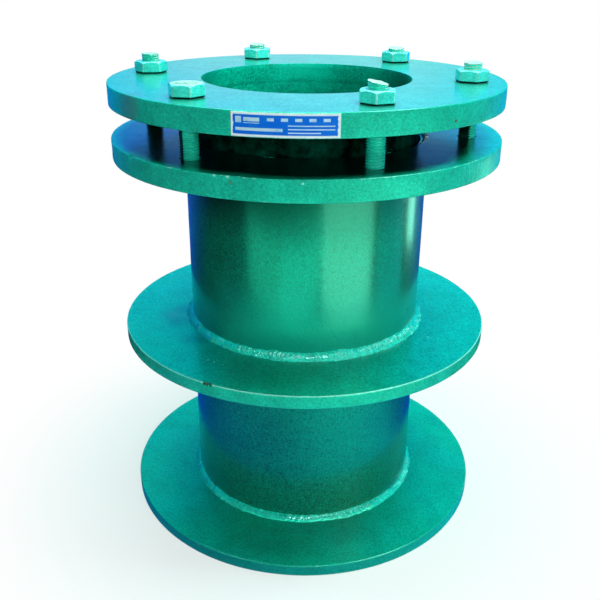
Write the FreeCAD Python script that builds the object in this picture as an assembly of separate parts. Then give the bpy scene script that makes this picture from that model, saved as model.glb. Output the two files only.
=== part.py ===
import FreeCAD, Part
import math
import os

# Flexible waterproof wall sleeve. A steel pipe with two wing rings is cast into
# a wall. A flanged gland, drawn down by nuts on six studs, squeezes two rubber
# rings onto the carrier pipe that runs through the bore.
# Lengths are in millimetres and angles in degrees. Z runs along the bore, and
# z = 0 is the underside of the end wing, on which the sleeve stands.

# Carrier pipe that the sleeve is made for. The pipe itself is not part of it.
CARRIER_OD = 168.0

# Radial build from the carrier pipe outwards
GLAND_CLEARANCE = 1.75
NOSE_WALL = 8.25
NOSE_CLEARANCE = 1.5
SLEEVE_WALL = 6.0
STUD_OFFSET = 31.0
RIM_MARGIN = 27.5
PLATE_SLIP = 0.4

# Axial build from the base upwards
END_WING_THICKNESS = 10.0
MIDDLE_WING_LEVEL = 158.5
MIDDLE_WING_THICKNESS = 11.0
SLEEVE_HEIGHT = 332.5
STUD_FLANGE_THICKNESS = 16.5
GLAND_GAP = 26.5
GLAND_THICKNESS = 17.0
NOSE_LENGTH = 58.0
PIPE_SETBACK = 4.0
EDGE_BREAK = 0.6

# Rubber rings and the ring that they are pressed against
SEAL_NAMES = ["lower", "upper"]
SEAL_HEIGHT = 16.0
SEAL_CLEARANCE = 0.3
SEAL_CORNER = 1.5
RETAINING_THICKNESS = 10.0
RETAINING_CLEARANCE = 2.0
RETAINING_SLIP = 0.3

# Studs and nuts
STUD_COUNT = 6
FIRST_STUD_ANGLE = -129.3
STUD_DIAMETER = 16.0
STUD_HOLE_CLEARANCE = 1.0
STUD_FOOT_GAP = 1.0
STUD_CHAMFER = 1.0
NUT_WALL = 4.0
NUT_HEIGHT = 9.5
NUT_THREAD_GAP = 0.3
NUT_CHAMFER_ANGLE = 30.0
NUT_FACE_SHARE = 0.95
NUT_COUNTERSINK = 0.8

# How each stud stands above its nut, how its cut end leans, and the way it
# leans, then the turn at which each nut came to rest, stud by stud
STUD_REACH = [0.4, 5.5, 8.2, 7.3, 6.0, 7.8]
STUD_CUT_LEAN = [0.0, 17.0, 3.0, 5.0, 0.0, 2.0]
STUD_CUT_HEADING = [0.0, -8.0, 170.0, 180.0, 0.0, 0.0]
NUT_TURN = [-100.8, -68.0, -114.5, -78.6, -60.9, -78.4]

# Fillet welds: leg lengths and the height of the rounded face over a flat one
WELD_LEG = 5.0
MIDDLE_WELD_LEG = 5.5
END_WELD_LEG = 4.0
WELD_CROWN = 0.6
WELD_FACE_GAP = 0.5
PIPE_END_LAND = 1.5

# Plate stuck to the rim of the gland flange
LABEL_ARC = 71.0
LABEL_THICKNESS = 0.4
LABEL_MARGIN = 0.2
LABEL_ANGLE = -95.2

# Sizes that follow from those above
GLAND_BORE_RADIUS = CARRIER_OD / 2 + GLAND_CLEARANCE
NOSE_RADIUS = GLAND_BORE_RADIUS + NOSE_WALL
SLEEVE_INNER_RADIUS = NOSE_RADIUS + NOSE_CLEARANCE
SLEEVE_RADIUS = SLEEVE_INNER_RADIUS + SLEEVE_WALL
PLATE_BORE_RADIUS = SLEEVE_RADIUS + PLATE_SLIP
BOLT_CIRCLE_RADIUS = SLEEVE_RADIUS + STUD_OFFSET
PLATE_RADIUS = BOLT_CIRCLE_RADIUS + RIM_MARGIN
MIDDLE_WING_TOP = MIDDLE_WING_LEVEL + MIDDLE_WING_THICKNESS
STUD_FLANGE_LEVEL = SLEEVE_HEIGHT - STUD_FLANGE_THICKNESS
GLAND_LEVEL = SLEEVE_HEIGHT + GLAND_GAP
GLAND_TOP = GLAND_LEVEL + GLAND_THICKNESS
NOSE_END = GLAND_LEVEL - NOSE_LENGTH
RETAINING_TOP = NOSE_END - len(SEAL_NAMES) * SEAL_HEIGHT
RETAINING_LEVEL = RETAINING_TOP - RETAINING_THICKNESS
STUD_RADIUS = STUD_DIAMETER / 2
NUT_FLAT_RADIUS = STUD_RADIUS + NUT_WALL
NUT_TOP = GLAND_TOP + NUT_HEIGHT

CENTRE = FreeCAD.Vector(0, 0, 0)
UP = FreeCAD.Vector(0, 0, 1)
ACROSS = FreeCAD.Vector(0, 1, 0)


def at(radius, level, angle=0.0):
    """Point at a radius from the bore's axis, a height and an angle round it."""
    turn = math.radians(angle)
    return FreeCAD.Vector(radius * math.cos(turn), radius * math.sin(turn), level)


def revolved(edges, start=0.0, sweep=360.0):
    """Solid of a closed outline in the XZ plane, turned about the bore's axis."""
    face = Part.Face(Part.Wire(edges))
    face.rotate(CENTRE, UP, start)
    return face.revolve(CENTRE, UP, sweep)


def outline(points):
    """Straight edges that join the points and close on the first."""
    ends = points[1:] + points[:1]
    return [Part.makeLine(start, end) for start, end in zip(points, ends)]


def ring(inner, outer, low, high, inner_break=0.0, outer_break=EDGE_BREAK):
    """Flat or tall ring, its edges broken by small chamfers where asked."""
    corners = [(inner, low, inner_break, 1), (outer, low, outer_break, -1),
               (outer, high, outer_break, -1), (inner, high, inner_break, 1)]
    points = []
    for index, (radius, level, chamfer, inward) in enumerate(corners):
        into = 1 if level == low else -1
        on_face = at(radius + inward * chamfer, level)
        on_wall = at(radius, level + into * chamfer)
        if chamfer == 0.0:
            points.append(on_face)
        elif index in (0, 2):
            points.extend([on_wall, on_face])
        else:
            points.extend([on_face, on_wall])
    return revolved(outline(points))


def round_cornered_ring(inner, outer, low, high, corner):
    """Ring of rubber with quarter-round corners."""
    slack = corner * (1 - math.sqrt(0.5))
    edges = [
        Part.makeLine(at(inner + corner, low), at(outer - corner, low)),
        Part.Arc(at(outer - corner, low), at(outer - slack, low + slack), at(outer, low + corner)).toShape(),
        Part.makeLine(at(outer, low + corner), at(outer, high - corner)),
        Part.Arc(at(outer, high - corner), at(outer - slack, high - slack), at(outer - corner, high)).toShape(),
        Part.makeLine(at(outer - corner, high), at(inner + corner, high)),
        Part.Arc(at(inner + corner, high), at(inner + slack, high - slack), at(inner, high - corner)).toShape(),
        Part.makeLine(at(inner, high - corner), at(inner, low + corner)),
        Part.Arc(at(inner, low + corner), at(inner + slack, low + slack), at(inner + corner, low)).toShape(),
    ]
    return revolved(edges)


def weld_bead(radius, level, leg_out, leg_up):
    """Fillet weld in the corner at a radius and height, with a rounded face.

    The legs are signed: outwards or inwards, and upwards or downwards."""
    corner = at(radius, level)
    side_toe = at(radius + leg_out, level)
    wall_toe = at(radius, level + leg_up)
    middle = (side_toe + wall_toe) * 0.5
    outward = middle - corner
    outward.normalize()
    crown = middle + outward * WELD_CROWN
    return revolved([
        Part.makeLine(corner, side_toe),
        Part.Arc(side_toe, crown, wall_toe).toShape(),
        Part.makeLine(wall_toe, corner),
    ])


def stud_angle(index):
    return FIRST_STUD_ANGLE + index * 360.0 / STUD_COUNT


def stud_holes(radius, low, high):
    """Cylinders at the stud positions, to be cut from a flange."""
    holes = []
    for index in range(STUD_COUNT):
        foot = at(BOLT_CIRCLE_RADIUS, low, stud_angle(index))
        holes.append(Part.makeCylinder(radius, high - low, foot, UP))
    return holes


def flange(inner, low, high, hole_radius):
    """Flat ring with a hole for each stud."""
    plate = ring(inner, PLATE_RADIUS, low, high, inner_break=EDGE_BREAK)
    return plate.cut(stud_holes(hole_radius, low, high))


def sleeve_pipe():
    """Pipe whose ends stop short of the outer faces, to leave room for a weld."""
    return ring(SLEEVE_INNER_RADIUS, SLEEVE_RADIUS, PIPE_SETBACK, SLEEVE_HEIGHT - PIPE_SETBACK, outer_break=0.0)


def end_weld(pipe_end, facing):
    """Bead on the pipe's end face, inside the bore of the plate round it."""
    leg_in = PLATE_SLIP + SLEEVE_WALL - PIPE_END_LAND
    leg_up = facing * (PIPE_SETBACK - WELD_FACE_GAP)
    return weld_bead(PLATE_BORE_RADIUS, pipe_end, -leg_in, leg_up)


def stud(index):
    """Stud screwed into the stud flange, its top end cut off by hand."""
    low = STUD_FLANGE_LEVEL + STUD_FOOT_GAP
    high = NUT_TOP + STUD_REACH[index % len(STUD_REACH)]
    lean = STUD_CUT_LEAN[index % len(STUD_CUT_LEAN)]
    shank_end = high - STUD_CHAMFER
    points = [at(0, low), at(STUD_RADIUS - STUD_CHAMFER, low), at(STUD_RADIUS, low + STUD_CHAMFER)]
    points += [at(STUD_RADIUS, shank_end), at(STUD_RADIUS - STUD_CHAMFER, high), at(0, high)]
    if lean:
        points[3:5] = [at(STUD_RADIUS, high)]
    body = revolved(outline(points))
    if lean:
        body = body.cut(cut_off(high, lean, STUD_CUT_HEADING[index % len(STUD_CUT_HEADING)]))
    body.translate(at(BOLT_CIRCLE_RADIUS, 0, stud_angle(index)))
    return body


def cut_off(level, lean, heading):
    """Block above a leaning plane that just leaves the high edge of the stud."""
    size = 4 * STUD_DIAMETER
    block = Part.makeBox(size, size, size, FreeCAD.Vector(-size / 2, -size / 2, level))
    edge = FreeCAD.Vector(-STUD_RADIUS, 0, level)
    block.rotate(edge, ACROSS, lean)
    block.rotate(CENTRE, UP, heading)
    return block


def hex_nut(index):
    """Hexagon nut with both faces chamfered and a countersunk hole."""
    corner_radius = NUT_FLAT_RADIUS / math.cos(math.radians(30))
    corners = [at(corner_radius, GLAND_TOP, 60 * turn + 30) for turn in range(6)]
    prism = Part.Face(Part.Wire(outline(corners))).extrude(UP * NUT_HEIGHT)
    face_radius = NUT_FLAT_RADIUS * NUT_FACE_SHARE
    drop = (corner_radius - face_radius) * math.tan(math.radians(NUT_CHAMFER_ANGLE))
    bore = STUD_RADIUS + NUT_THREAD_GAP
    sunk = bore + NUT_COUNTERSINK
    turned = revolved(outline([
        at(bore, GLAND_TOP + NUT_COUNTERSINK), at(sunk, GLAND_TOP),
        at(face_radius, GLAND_TOP), at(corner_radius, GLAND_TOP + drop),
        at(corner_radius, NUT_TOP - drop), at(face_radius, NUT_TOP),
        at(sunk, NUT_TOP), at(bore, NUT_TOP - NUT_COUNTERSINK),
    ]))
    body = prism.common(turned)
    body.rotate(CENTRE, UP, NUT_TURN[index % len(NUT_TURN)])
    body.translate(at(BOLT_CIRCLE_RADIUS, 0, stud_angle(index)))
    return body


def label_plate():
    """Thin curved plate on the flat part of the gland flange's rim."""
    low = GLAND_LEVEL + EDGE_BREAK + LABEL_MARGIN
    high = GLAND_TOP - EDGE_BREAK - LABEL_MARGIN
    outer = PLATE_RADIUS + LABEL_THICKNESS
    sweep = math.degrees(LABEL_ARC / PLATE_RADIUS)
    section = outline([at(PLATE_RADIUS, low), at(outer, low), at(outer, high), at(PLATE_RADIUS, high)])
    return revolved(section, LABEL_ANGLE - sweep / 2, sweep)


def save(node, shape):
    """Write one closed solid to its own file."""
    solids = shape.Solids
    if len(solids) != 1 or not shape.isValid():
        raise ValueError(node + " is not one valid solid")
    solids[0].exportStep("parts/" + node + ".step")


def main():
    os.makedirs("parts", exist_ok=True)

    # Sleeve: pipe, wings, stud flange and their welds
    save("sleeve_pipe", sleeve_pipe())
    save("end_wing_ring", ring(PLATE_BORE_RADIUS, PLATE_RADIUS, 0, END_WING_THICKNESS))
    save("middle_wing_ring", ring(PLATE_BORE_RADIUS, PLATE_RADIUS, MIDDLE_WING_LEVEL, MIDDLE_WING_TOP))
    save("stud_flange", flange(PLATE_BORE_RADIUS, STUD_FLANGE_LEVEL, SLEEVE_HEIGHT, STUD_RADIUS))
    save("weld_end_wing_inside", end_weld(PIPE_SETBACK, -1))
    save("weld_end_wing_top", weld_bead(SLEEVE_RADIUS, END_WING_THICKNESS, END_WELD_LEG, END_WELD_LEG))
    save("weld_middle_wing_under", weld_bead(SLEEVE_RADIUS, MIDDLE_WING_LEVEL, MIDDLE_WELD_LEG, -MIDDLE_WELD_LEG))
    save("weld_middle_wing_top", weld_bead(SLEEVE_RADIUS, MIDDLE_WING_TOP, MIDDLE_WELD_LEG, MIDDLE_WELD_LEG))
    save("weld_stud_flange_under", weld_bead(SLEEVE_RADIUS, STUD_FLANGE_LEVEL, WELD_LEG, -WELD_LEG))
    save("weld_stud_flange_inside", end_weld(SLEEVE_HEIGHT - PIPE_SETBACK, 1))

    # Inside the sleeve: retaining ring and rubber rings
    retaining_bore = CARRIER_OD / 2 + RETAINING_CLEARANCE
    retaining_rim = SLEEVE_INNER_RADIUS - RETAINING_SLIP
    save("retaining_ring", ring(retaining_bore, retaining_rim, RETAINING_LEVEL, RETAINING_TOP, outer_break=0.0))
    save("weld_retaining_ring", weld_bead(SLEEVE_INNER_RADIUS, RETAINING_LEVEL, -WELD_LEG, -WELD_LEG))
    seal_inner = CARRIER_OD / 2 + SEAL_CLEARANCE
    seal_outer = SLEEVE_INNER_RADIUS - SEAL_CLEARANCE
    for index, name in enumerate(SEAL_NAMES):
        low = RETAINING_TOP + index * SEAL_HEIGHT
        seal = round_cornered_ring(seal_inner, seal_outer, low, low + SEAL_HEIGHT, SEAL_CORNER)
        save("seal_ring_" + name, seal)

    # Gland: flange, nose tube, weld and label plate
    save("gland_flange", flange(GLAND_BORE_RADIUS, GLAND_LEVEL, GLAND_TOP, STUD_RADIUS + STUD_HOLE_CLEARANCE))
    save("gland_nose", ring(GLAND_BORE_RADIUS, NOSE_RADIUS, NOSE_END, GLAND_LEVEL, outer_break=0.0))
    save("weld_gland_nose", weld_bead(NOSE_RADIUS, GLAND_LEVEL, WELD_LEG, -WELD_LEG))
    save("label_plate", label_plate())

    # Studs and nuts
    for index in range(STUD_COUNT):
        save("stud_" + str(index + 1), stud(index))
        save("nut_" + str(index + 1), hex_nut(index))


main()
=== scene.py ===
import math
import bpy
import numpy as np
from mathutils import Matrix, Vector, geometry

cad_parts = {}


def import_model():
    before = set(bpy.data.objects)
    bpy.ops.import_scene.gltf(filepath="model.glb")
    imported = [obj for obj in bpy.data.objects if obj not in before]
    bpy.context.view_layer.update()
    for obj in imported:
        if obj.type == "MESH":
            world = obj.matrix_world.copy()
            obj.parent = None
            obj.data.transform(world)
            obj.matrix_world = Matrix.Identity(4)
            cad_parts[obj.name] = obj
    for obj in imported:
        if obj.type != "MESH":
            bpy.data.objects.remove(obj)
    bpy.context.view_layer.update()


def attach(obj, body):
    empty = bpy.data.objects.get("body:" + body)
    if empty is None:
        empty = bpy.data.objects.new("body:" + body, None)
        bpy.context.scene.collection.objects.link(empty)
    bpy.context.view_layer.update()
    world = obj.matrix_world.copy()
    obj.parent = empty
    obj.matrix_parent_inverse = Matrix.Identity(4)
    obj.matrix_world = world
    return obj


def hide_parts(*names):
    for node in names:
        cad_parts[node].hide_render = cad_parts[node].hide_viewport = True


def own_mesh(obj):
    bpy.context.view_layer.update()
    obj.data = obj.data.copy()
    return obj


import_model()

# Sizes that the source gives, in millimetres. Meshes are made in millimetres
# about the bore's axis and scaled to metres when the object is made.
MM = 0.001
PLATE_RADIUS = 160.0
PLATE_BORE = 101.9
SLEEVE_RADIUS = 101.5
SLEEVE_INNER = 95.5
SLEEVE_LOW = 4.0
SLEEVE_HIGH = 328.5
GLAND_BORE = 85.75
NOSE_RADIUS = 94.0
NOSE_END = 301.0
BOLT_CIRCLE = 132.5
BASE_TOP = 10.0
WING_LOW = 158.5
WING_TOP = 169.5
FLANGE_LOW = 316.0
FLANGE_TOP = 332.5
GLAND_LOW = 359.0
GLAND_TOP = 376.0
NUT_TOP = 385.5
RING_OUTER = 95.2
RETAINING_INNER = 86.0
RETAINING_LOW = 259.0
RETAINING_TOP = 269.0
SEAL_INNER = 84.3
SEAL_HEIGHT = 16.0
SEAL_CORNER = 1.5

# The studs and their nuts, counterclockwise from the left one in front. Angles
# are in degrees from +X, so the front is at -90. A stud's end lies at its reach
# above the nut, and its cut falls by its lean towards its heading.
STUD_ANGLES = [-129.3 + 60 * index for index in range(6)]
STUD_REACH = [0.4, 5.9, 6.1, 4.0, 3.9, 6.0]
STUD_LEAN = [0.0, 11.5, 5.5, 7.0, 3.0, 2.0]
STUD_HEADING = [0.0, -8.0, -90.0, -90.0, -90.0, 0.0]
NUT_TURN = [-100.8, -68.0, -114.5, -78.6, -60.9, -78.4]


# Noise and meshes

def value_noise(u, v, cells, rows, seed):
    """Smooth noise from -1 to 1. It repeats once u has gone from 0 to 1."""
    table = np.random.default_rng(seed).uniform(-1, 1, (cells, rows + 3))
    x = np.mod(u, 1.0) * cells
    y = np.clip(v, 0.0, 1.0) * rows
    i = np.floor(x).astype(int)
    j = np.floor(y).astype(int)
    fx = x - i
    fy = y - j
    fx = fx * fx * (3 - 2 * fx)
    fy = fy * fy * (3 - 2 * fy)
    a = table[i % cells, j] * (1 - fx) + table[(i + 1) % cells, j] * fx
    b = table[i % cells, j + 1] * (1 - fx) + table[(i + 1) % cells, j + 1] * fx
    return a * (1 - fy) + b * fy


def bump_at(u, degrees, width, power=2):
    """Hump round an angle, of a half width in degrees. A high power flattens it."""
    away = np.mod(u * 360.0 - degrees + 180.0, 360.0) - 180.0
    return np.exp(-(away / width) ** power)


def build(name, points, faces, smooth_angle=38.0):
    """Object from points in millimetres and faces, smooth except at corners."""
    mesh = bpy.data.meshes.new(name)
    mesh.from_pydata((np.asarray(points).reshape(-1, 3) * MM).tolist(), [], faces)
    mesh.validate()
    mesh.polygons.foreach_set("use_smooth", np.ones(len(mesh.polygons), bool))
    mesh.set_sharp_from_angle(angle=math.radians(smooth_angle))
    mesh.update()
    piece = bpy.data.objects.new(name, mesh)
    bpy.context.scene.collection.objects.link(piece)
    return piece


def grid_faces(columns, rows, wrap_rows, start=0):
    """Quads of a grid whose columns close on themselves."""
    faces = []
    last = rows if wrap_rows else rows - 1
    for i in range(columns):
        here = start + i * rows
        there = start + (i + 1) % columns * rows
        for j in range(last):
            m = (j + 1) % rows
            faces.append((here + j, there + j, there + m, here + m))
    return faces


def turned(radius, level, columns):
    """Points of radii and heights, given by column and row, set round the axis."""
    angle = np.arange(columns)[:, None] / columns * 2 * math.pi
    return np.stack([radius * np.cos(angle), radius * np.sin(angle), level * np.ones_like(angle)], -1)


def bolt_place(degrees):
    """Place on the bolt circle."""
    turn = math.radians(degrees)
    return BOLT_CIRCLE * math.cos(turn), BOLT_CIRCLE * math.sin(turn)


def middle_of(face):
    """Middle of a face in millimetres."""
    return [value * 1000 for value in face.center]


# Plates

RIM_DROP = 0.9    # radius of a rim's two edges
HOLE_EDGE = 0.6   # how much wider a hole is at the plate's faces


def rim_outline(low, high):
    """Outline of a rim from the top face to the bottom face, its edges rounded."""
    edge_steps = 4
    wall_steps = 8
    turns = [math.pi / 2 * step / edge_steps for step in range(edge_steps + 1)]
    inside = PLATE_RADIUS - RIM_DROP
    deep = high - low - 2 * RIM_DROP
    points = [(inside + RIM_DROP * math.sin(turn), high - RIM_DROP + RIM_DROP * math.cos(turn)) for turn in turns]
    points += [(PLATE_RADIUS, high - RIM_DROP - deep * step / wall_steps) for step in range(1, wall_steps)]
    points += [(inside + RIM_DROP * math.cos(turn), low + RIM_DROP - RIM_DROP * math.sin(turn)) for turn in turns]
    return np.array(points)


def cut_rim(u, depth, seed, wave, drag):
    """Unevenness of a rim cut by torch: slow waves, drag lines and pits."""
    slow = value_noise(u, 0 * u, 11, 1, seed) * 0.6 + value_noise(u, depth, 47, 2, seed + 1) * 0.4
    lines = value_noise(u + 0.0018 * depth ** 1.5, depth * 0.6, 430, 2, seed + 2)
    fine = value_noise(u + 0.0018 * depth, depth, 980, 7, seed + 3)
    pits = np.clip(value_noise(u, depth, 260, 5, seed + 4) - 0.62, 0, 1) * 2.6
    return wave * slow + drag * (lines + 0.5 * fine) - drag * 2.2 * pits


def hole_wall(centre, size, columns, ease, low, high):
    """Wall of a hole, in columns of points from the top face to the bottom face."""
    deep = high - low - 2 * ease
    levels = [(HOLE_EDGE, high), (ease * 0.3, high - ease * 0.3), (0.0, high - ease)]
    levels += [(0.0, high - ease - deep * step / 4) for step in range(1, 4)]
    levels += [(0.0, low + ease), (ease * 0.3, low + ease * 0.3), (HOLE_EDGE, low)]
    grow, height = np.array(levels).T[:, None, :]
    angle = -np.arange(columns)[:, None] / columns * 2 * math.pi
    x = centre[0] + (size + grow) * np.cos(angle)
    y = centre[1] + (size + grow) * np.sin(angle)
    return np.stack([x, y, height * np.ones_like(angle)], -1)


def plate(name, inner, low, high, seed, wave, drag, hole_radius=0.0, dents=()):
    """Flat ring with a torch-cut rim and, where asked, a hole for each stud.

    Dents are (angle, half width, depth, height) of chips in the rim."""
    columns = 1280
    u = np.arange(columns)[:, None] / columns
    out, rise = rim_outline(low, high).T[:, None, :]
    depth = (high - rise) / (high - low)
    ease = np.clip((out - PLATE_RADIUS + RIM_DROP) / RIM_DROP, 0, 1)
    radius = out + cut_rim(u, depth, seed, wave, drag) * ease
    worn = np.clip(value_noise(u, 0 * u, 330, 1, seed + 5), 0, 1) ** 2 * 0.35
    level = rise - worn * np.exp(-(depth * (high - low) / 1.2) ** 2) * ease
    for degrees, width, size, height in dents:
        hump = bump_at(u, degrees, width) * np.exp(-((rise - height) / 2.2) ** 2)
        radius = radius - size * hump * ease

    # Each hole is (centre, radius, columns, height of its rounded edges)
    holes = [((0.0, 0.0), inner, 360, 0.35)]
    if hole_radius:
        holes += [(bolt_place(degrees), hole_radius, 48, 0.6) for degrees in STUD_ANGLES]
    grids = [turned(radius, level, columns)] + [hole_wall(*hole, low, high) for hole in holes]
    points = np.concatenate([grid.reshape(-1, 3) for grid in grids])
    faces = []
    edges = []
    loops = []
    total = 0
    for grid in grids:
        count, rows = grid.shape[:2]
        faces += grid_faces(count, rows, False, total)
        first = len(edges)
        edges += [(first + i, first + (i + 1) % count) for i in range(count)]
        top = range(total, total + count * rows, rows)
        loops.append((top, [key + rows - 1 for key in top]))
        total += count * rows

    # The top face and the bottom face are filled between the loops
    for side in (0, 1):
        order = [key for loop in loops for key in loop[side]]
        flat = [Vector(points[key][:2]) for key in order]
        found = geometry.delaunay_2d_cdt(flat, edges, [], 0, 1e-7)
        spots, cells, origins = found[0], found[2], found[3]
        for cell in cells:
            middle = sum((spots[k] for k in cell), Vector((0, 0))) / len(cell)
            if middle.length > PLATE_RADIUS - RIM_DROP:
                continue
            if any((middle - Vector(hole[0])).length < hole[1] + HOLE_EDGE - 0.002 for hole in holes):
                continue
            keys = [order[origins[k][0]] for k in cell]
            faces.append(tuple(keys) if side == 0 else tuple(reversed(keys)))
    return build(name, points, faces, 32.0)


# Turned pieces

def lathe(name, outline, columns, wobble=None, smooth_angle=38.0):
    """Closed outline turned about the axis, its radius made uneven if asked."""
    radius = outline[None, :, 0] * np.ones((columns, 1))
    level = outline[None, :, 1] * np.ones((columns, 1))
    if wobble is not None:
        radius = wobble(np.arange(columns)[:, None] / columns, radius, level)
    return build(name, turned(radius, level, columns), grid_faces(columns, len(outline), True), smooth_angle)


def tube(outer, inner, low, high, spacing):
    """Closed outline of a tube's wall, its edges divided."""
    corners = [(outer, low), (outer, high), (inner, high), (inner, low)]
    points = []
    for start, end in zip(corners, corners[1:] + corners[:1]):
        count = max(1, round(math.dist(start, end) / spacing))
        for step in range(count):
            t = step / count
            points.append((start[0] + (end[0] - start[0]) * t, start[1] + (end[1] - start[1]) * t))
    return np.array(points)


def pipe_wobble(u, radius, level):
    """A rolled pipe is never quite round, and its skin is a little lumpy."""
    v = level / 340.0
    slow = value_noise(u, v, 9, 5, 21) * 0.16 + value_noise(u, v, 31, 17, 22) * 0.05
    outside = radius > (SLEEVE_RADIUS + SLEEVE_INNER) / 2
    return radius + slow * np.where(outside, 1.0, 0.4)


def weld(name, corner, legs, seed, columns=1400, rows=13, crown=0.6, ripple=0.3, sections=(), bumps=()):
    """Fillet weld laid in short overlapping scales round a corner.

    Sections are (angle, half width, ripple, growth, pitch, lumps) of spans where
    the scales and the size differ. Bumps are (angle, half width, height) of
    blobs where the bead was stopped and started again."""
    radius, level = corner
    out, up = legs
    side_r = math.copysign(1, out)
    side_z = math.copysign(1, up)
    pitch = 3.9
    u = np.arange(columns)[:, None] / columns
    t = np.linspace(0, 1, rows)[None, :]
    arch = 4 * t * (1 - t)
    strength = np.full_like(u, ripple)
    spacing = np.full_like(u, pitch)
    lumpy = np.full_like(u, ripple * 0.8)
    size = 1 + 0.10 * value_noise(u, 0 * u, 60, 1, seed) + 0.05 * value_noise(u, 0 * u, 170, 1, seed + 1)
    for degrees, width, rough, grow, length, lumps in sections:
        here = bump_at(u, degrees, width, 6)
        strength = strength * (1 - here) + rough * here
        spacing = spacing * (1 - here) + length * here
        lumpy = lumpy * (1 - here) + lumps * here
        size = size * (1 + grow * here)

    # A whole number of scales goes round, and each one bows backwards
    counted = np.cumsum(2 * math.pi * radius / columns / spacing)
    counted = (counted * round(counted[-1]) / counted[-1])[:, None]
    counted = counted + 0.30 * value_noise(u, 0 * u, 80, 1, seed + 2)
    bow = abs(out) * 0.8 * (2 * t - 1) ** 2 + abs(out) * 0.35 * (1 - t)
    phase = np.mod(counted - bow / spacing, 1.0)
    scale = (1 - phase) ** 0.8 * np.clip(phase * 6, 0, 1)
    rough = value_noise(u, t, 420, 5, seed + 3) * 0.5 + value_noise(u, t, 900, 9, seed + 4) * 0.35
    lift = crown * arch + strength * (scale - 0.5) * 1.3 * arch ** 0.35
    lift = lift + strength * rough * 0.9 * arch ** 0.3
    lift = lift + lumpy * value_noise(u, t, 76, 3, seed + 7) * arch ** 0.5
    for degrees, width, height in bumps:
        lift = lift + height * bump_at(u, degrees, width) * arch ** 0.6

    # The two toes wander, and the back of the bead is sunk into the metal
    toe = 0.45 * value_noise(u, 0 * u, 170, 1, seed + 5) + 0.25 * scale[:, :1]
    grow_out = out * size + side_r * toe
    toe = 0.45 * value_noise(u, 0 * u, 170, 1, seed + 6) + 0.30 * scale[:, -1:]
    grow_up = up * size + side_z * toe
    norm = math.hypot(out, up)
    r = radius + grow_out * (1 - t) + lift * abs(up) / norm * side_r
    z = level + grow_up * t + lift * abs(out) / norm * side_z
    sunk = 0.25
    root_r = radius - sunk * side_r + 0 * u
    root_z = level - sunk * side_z + 0 * u
    r = np.concatenate([r[:, :1], r, root_r, root_r], 1)
    z = np.concatenate([root_z, z, z[:, -1:], root_z], 1)
    if out * up > 0:
        r = r[:, ::-1]
        z = z[:, ::-1]
    return build(name, turned(r, z, columns), grid_faces(columns, r.shape[1], True), 60.0)


# Studs and nuts

STUD_LOW = 317.0
FILLED_FROM = 384.0         # above this the groove holds more paint
FIRST_FILLED_FROM = 347.0   # and on the first stud above this
THREAD_RADIUS = 7.2
THREAD_DEPTH = 0.9
THREAD_PITCH = 2.0
# Below the gland a stud's shank is dark, as painted shade, except on its side towards the light:
# where it reaches the second list's millimetres or more from its axis towards the first list's angle in degrees.
STUD_LIGHT_FROM = (-52, -84, 14, 60, 90, -60)
STUD_LIT_REACH = (2.2, 0.8, -1.2, 0.0, 0.0, 7.3)


def stud(name, index):
    """Threaded stud whose groove is partly filled with paint, its end cut by hand.

    Materials: painted thread, cut end, and painted shade on the shank's side away from the light."""
    columns = 44
    high = NUT_TOP + STUD_REACH[index]
    centre = bolt_place(STUD_ANGLES[index])
    angle = np.arange(columns)[:, None] / columns * 2 * math.pi
    u = angle / (2 * math.pi)
    z = np.arange(STUD_LOW, high, 0.25)[None, :] * np.ones_like(angle)
    v = (z - STUD_LOW) / 80.0
    fill = 0.08 + 0.30 * np.clip(value_noise(u, v, 5, 9, 300 + index), 0, 1)
    fill = fill + 0.30 / (1 + np.exp(-(z - FILLED_FROM) * 2))
    if index == 0:
        fill = np.clip(fill + 0.62 / (1 + np.exp(-(z - FIRST_FILLED_FROM) * 0.8)), 0, 0.96)
    groove = 0.5 - 0.5 * np.cos(2 * math.pi * (z / THREAD_PITCH - u))
    radius = THREAD_RADIUS - THREAD_DEPTH * (1 - fill) * groove
    radius = radius - 0.05 * np.clip(value_noise(u, v, 17, 60, 310 + index), 0, 1)
    radius = np.where(z < STUD_LOW + 1.0, np.minimum(radius, 6.4 + (z - STUD_LOW)), radius)
    heading = math.radians(STUD_HEADING[index])
    slope = math.tan(math.radians(STUD_LEAN[index]))

    def fallen(x, y):
        """How far the leaning cut lies below its highest point."""
        return slope * (THREAD_RADIUS + x * math.cos(heading) + y * math.sin(heading))

    x = radius * np.cos(angle)
    y = radius * np.sin(angle)
    ragged = 0.22 * value_noise(u, 0 * u, 15, 1, 320 + index) + 0.12 * value_noise(u, 0 * u, 37, 1, 330 + index)
    z = np.minimum(z, high - 0.15 - fallen(x, y) + ragged)
    rings = [np.stack([centre[0] + x, centre[1] + y, z], -1)]
    lip_share = 0.965
    for share in (lip_share, 0.9, 0.75, 0.55, 0.33, 0.12):
        x = radius[:, -1:] * share * np.cos(angle)
        y = radius[:, -1:] * share * np.sin(angle)
        flat = high - 0.05 - fallen(x, y)
        if share == lip_share:
            height = z[:, -1:] * 0.35 + flat * 0.65 + 0.10
        else:
            height = flat + 0.16 * value_noise(u, share + 0 * u, 13, 5, 340 + index)
        rings.append(np.stack([centre[0] + x, centre[1] + y, height], -1))
    body = np.concatenate(rings, 1)
    rows = body.shape[1]
    faces = grid_faces(columns, rows, False)
    faces.append(tuple(i * rows + rows - 1 for i in range(columns)))
    faces.append(tuple(i * rows for i in reversed(range(columns))))
    piece = build(name, body, faces, 50.0)
    light_way = math.radians(STUD_LIGHT_FROM[index])
    for face in piece.data.polygons:
        x, y, z = middle_of(face)
        out = (x - centre[0]) * math.cos(light_way) + (y - centre[1]) * math.sin(light_way)
        cut_end = face.normal.z > 0.55 and z > NUT_TOP - 0.5
        # Shank faces below the gland that turn away from the light get the painted shade
        shaded = z < GLAND_LOW + 3 and out < STUD_LIT_REACH[index]
        face.material_index = 1 if cut_end else 2 if shaded else 0
    return piece


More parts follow.
